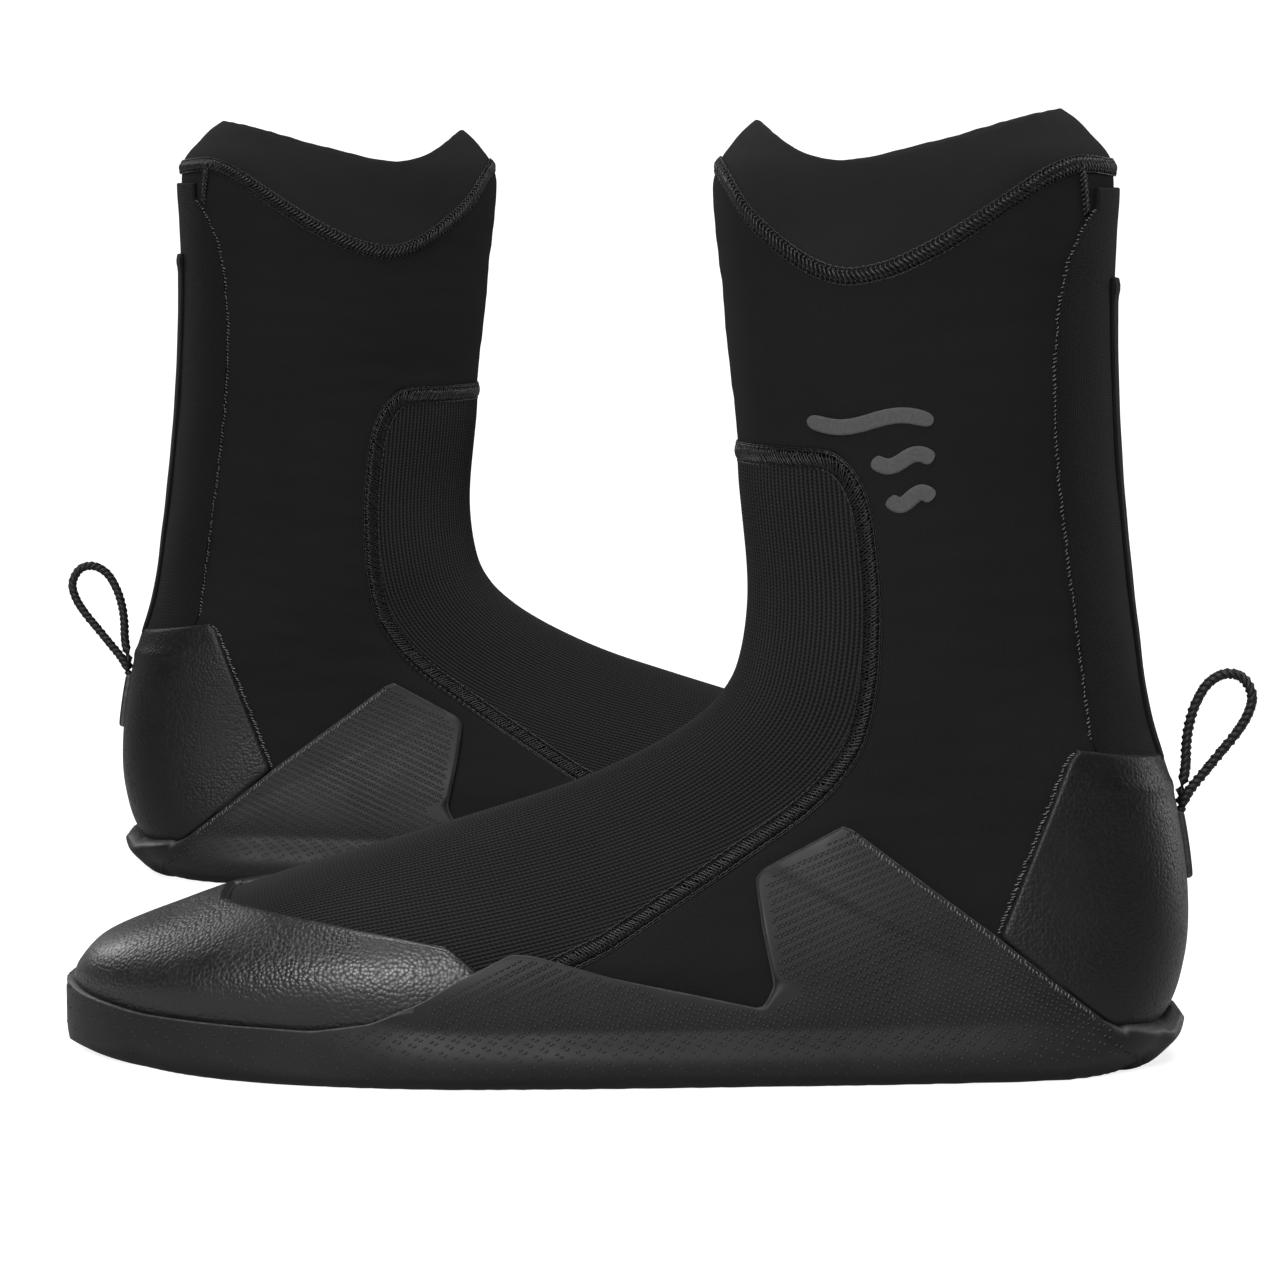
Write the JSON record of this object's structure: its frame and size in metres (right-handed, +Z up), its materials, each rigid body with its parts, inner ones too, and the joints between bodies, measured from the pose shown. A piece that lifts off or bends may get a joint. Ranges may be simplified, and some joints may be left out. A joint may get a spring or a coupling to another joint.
{
  "type": "neoprene boots",
  "caption": "Pair of high neoprene water-sports boots with rubber outsole cups, grained toe and heel caps, knit insteps, thin cuffs and cord pull loops at the heels.",
  "frame": {"origin": "centre of the pair on the ground, half-way between the two boots", "axes": "+Z up; +Y from the left boot to the right boot; the right boot's toe points to +X and the left boot's toe to -X"},
  "size_m": [0.347, 0.4199, 0.245],
  "materials": {
    "outsole": "textured moulded rubber, satin",
    "bottom_panel": "neoprene with jersey face",
    "insole": "closed-cell foam, matt",
    "lining": "short plush fleece",
    "shaft_panel": "neoprene with fine ribbed jersey, matt",
    "instep_panel": "ribbed stretch knit on neoprene",
    "cuff": "thin neoprene with plain jersey",
    "cuff_stitching": "polyester overlock thread, slight sheen",
    "instep_stitching": "polyester overlock thread, slight sheen",
    "toe_cap": "pebble-grained rubber, semi-gloss",
    "heel_cup": "pebble-grained rubber, semi-gloss",
    "achilles_panel": "coarse woven nylon",
    "back_seam_tape": "woven tape",
    "loop_tab": "smooth rubber",
    "pull_loop": "twisted polyester cord",
    "side_print": "screen-printed ink, matt"
  },
  "bodies": {
    "left_boot": {"left_outsole": "outsole", "left_bottom_panel": "bottom_panel", "left_insole": "insole", "left_lining": "lining", "left_shaft_panel": "shaft_panel", "left_instep_panel": "instep_panel", "left_cuff": "cuff", "left_cuff_stitching": "cuff_stitching", "left_instep_stitching": "instep_stitching", "left_toe_cap": "toe_cap", "left_heel_cup": "heel_cup", "left_achilles_panel": "achilles_panel", "left_back_seam_tape": "back_seam_tape", "left_loop_tab": "loop_tab", "left_side_print": "side_print"},
    "right_boot": {"right_outsole": "outsole", "right_bottom_panel": "bottom_panel", "right_insole": "insole", "right_lining": "lining", "right_shaft_panel": "shaft_panel", "right_instep_panel": "instep_panel", "right_cuff": "cuff", "right_cuff_stitching": "cuff_stitching", "right_instep_stitching": "instep_stitching", "right_toe_cap": "toe_cap", "right_heel_cup": "heel_cup", "right_achilles_panel": "achilles_panel", "right_back_seam_tape": "back_seam_tape", "right_loop_tab": "loop_tab"},
    "left_loop": {"left_pull_loop": "pull_loop"},
    "right_loop": {"right_pull_loop": "pull_loop"}
  },
  "joints": [
    {"name": "right_boot_lift", "type": "slide", "parent": "left_boot", "child": "right_boot", "axis": [0, 0, 1], "range_m": [0, 0.35]},
    {"name": "left_loop_swing", "type": "hinge", "parent": "left_boot", "child": "left_loop", "pos_m": [0.1544, -0.1585, 0.066], "axis": [0, 1, 0], "range_deg": [-3, 70], "stiffness_Nm_per_rad": 0.003},
    {"name": "right_loop_swing", "type": "hinge", "parent": "right_boot", "child": "right_loop", "pos_m": [-0.1544, 0.1555, 0.066], "axis": [0, -1, 0], "range_deg": [-3, 70], "stiffness_Nm_per_rad": 0.003}
  ]
}
